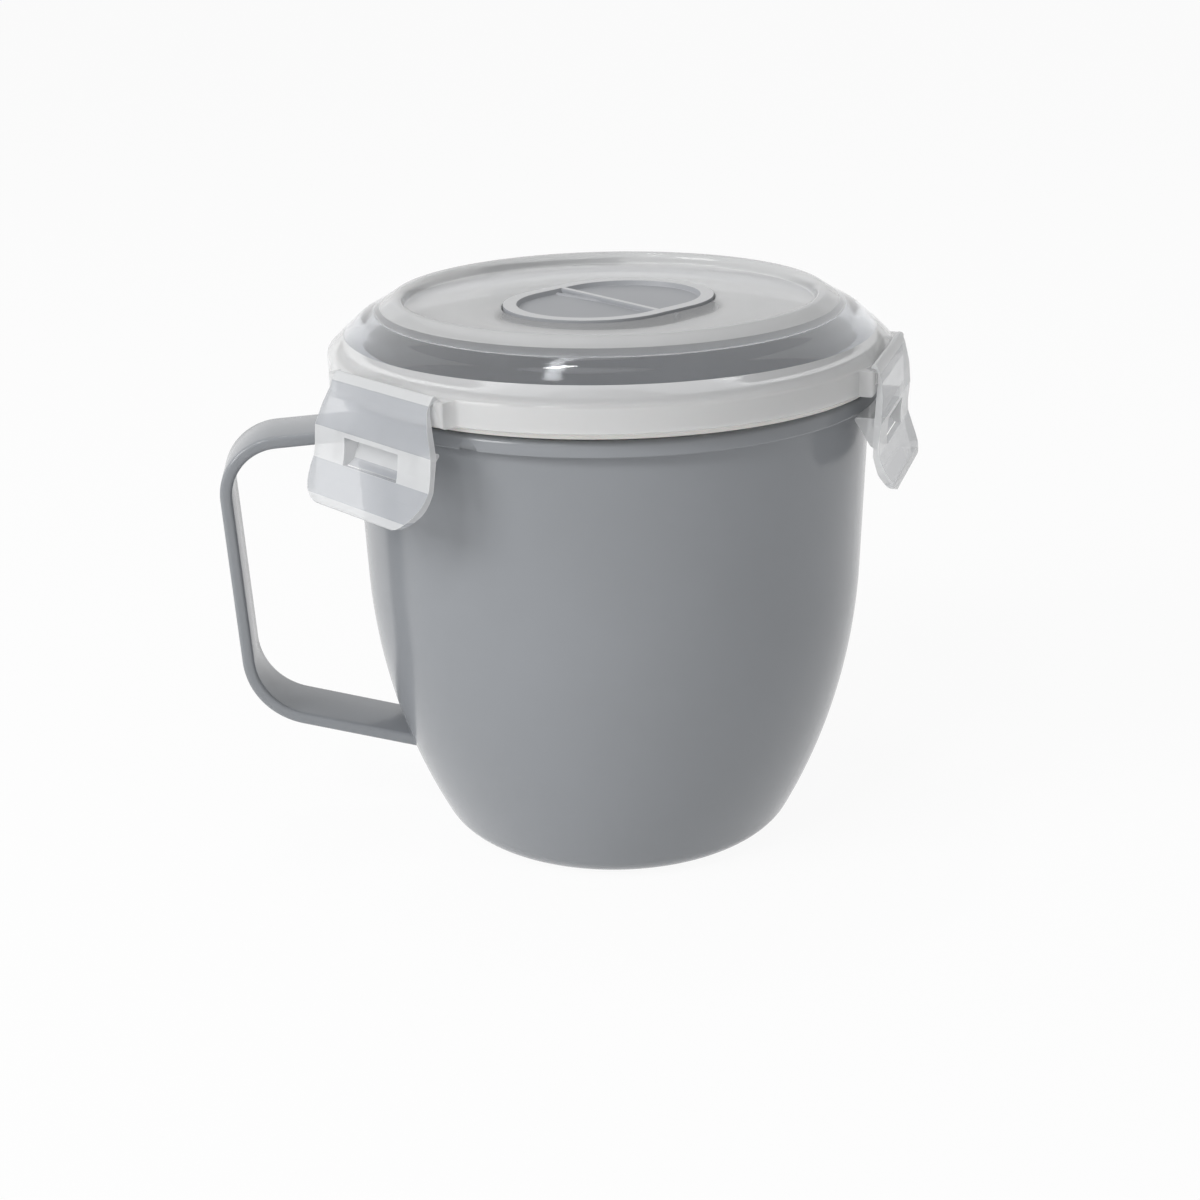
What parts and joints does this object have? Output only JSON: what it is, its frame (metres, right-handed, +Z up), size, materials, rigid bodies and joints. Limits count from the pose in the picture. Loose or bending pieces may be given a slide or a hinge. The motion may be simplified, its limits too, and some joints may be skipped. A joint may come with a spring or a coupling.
{
  "type": "soup mug",
  "caption": "Soup mug with a flat strap handle and a translucent clip-on lid with hooked latches, a soft rim gasket and a rocking steam vent.",
  "frame": {"origin": "centre of the flat base on the surface that the mug stands on, on the barrel's axis", "axes": "+Z up through the mouth; the handle points to -X, turned 7 degrees towards -Y; -Y is the front side in the picture"},
  "size_m": [0.1624, 0.1361, 0.1293],
  "materials": {
    "mug_body": "glossy grey moulded plastic",
    "lid_shell": "translucent, clear and polished on the sloping wall, satin on the top and the skirt",
    "latch_clear": "translucent satin",
    "seal_soft": "matt off-white silicone",
    "vent_grey": "satin light grey"
  },
  "bodies": {
    "mug": {"mug": "mug_body"},
    "lid": {"lid": "lid_shell", "rim_gasket": "seal_soft"},
    "latch_left": {"latch_left": "latch_clear"},
    "latch_right": {"latch_right": "latch_clear"},
    "latch_back": {"latch_back": "latch_clear"},
    "vent_flap": {"vent_flap": "vent_grey", "vent_seal": "seal_soft"}
  },
  "joints": [
    {"name": "lid_lift", "type": "slide", "parent": "mug", "child": "lid", "axis": [0, 0, 1], "range_m": [0, 0.06]},
    {"name": "latch_left_hinge", "type": "hinge", "parent": "lid", "child": "latch_left", "pos_m": [-0.0471, -0.04316, 0.1183], "axis": [-0.6756, 0.7373, 0], "range_deg": [-10, 65]},
    {"name": "latch_right_hinge", "type": "hinge", "parent": "lid", "child": "latch_right", "pos_m": [0.06093, -0.01921, 0.1183], "axis": [-0.3007, -0.9537, 0], "range_deg": [0, 75]},
    {"name": "latch_back_hinge", "type": "hinge", "parent": "lid", "child": "latch_back", "pos_m": [-0.01383, 0.06237, 0.1183], "axis": [0.9763, 0.2164, 0], "range_deg": [0, 75]},
    {"name": "vent_rock", "type": "hinge", "parent": "lid", "child": "vent_flap", "pos_m": [0, 0, 0.12558], "axis": [0.7193, -0.6947, 0], "range_deg": [0, 6]}
  ]
}
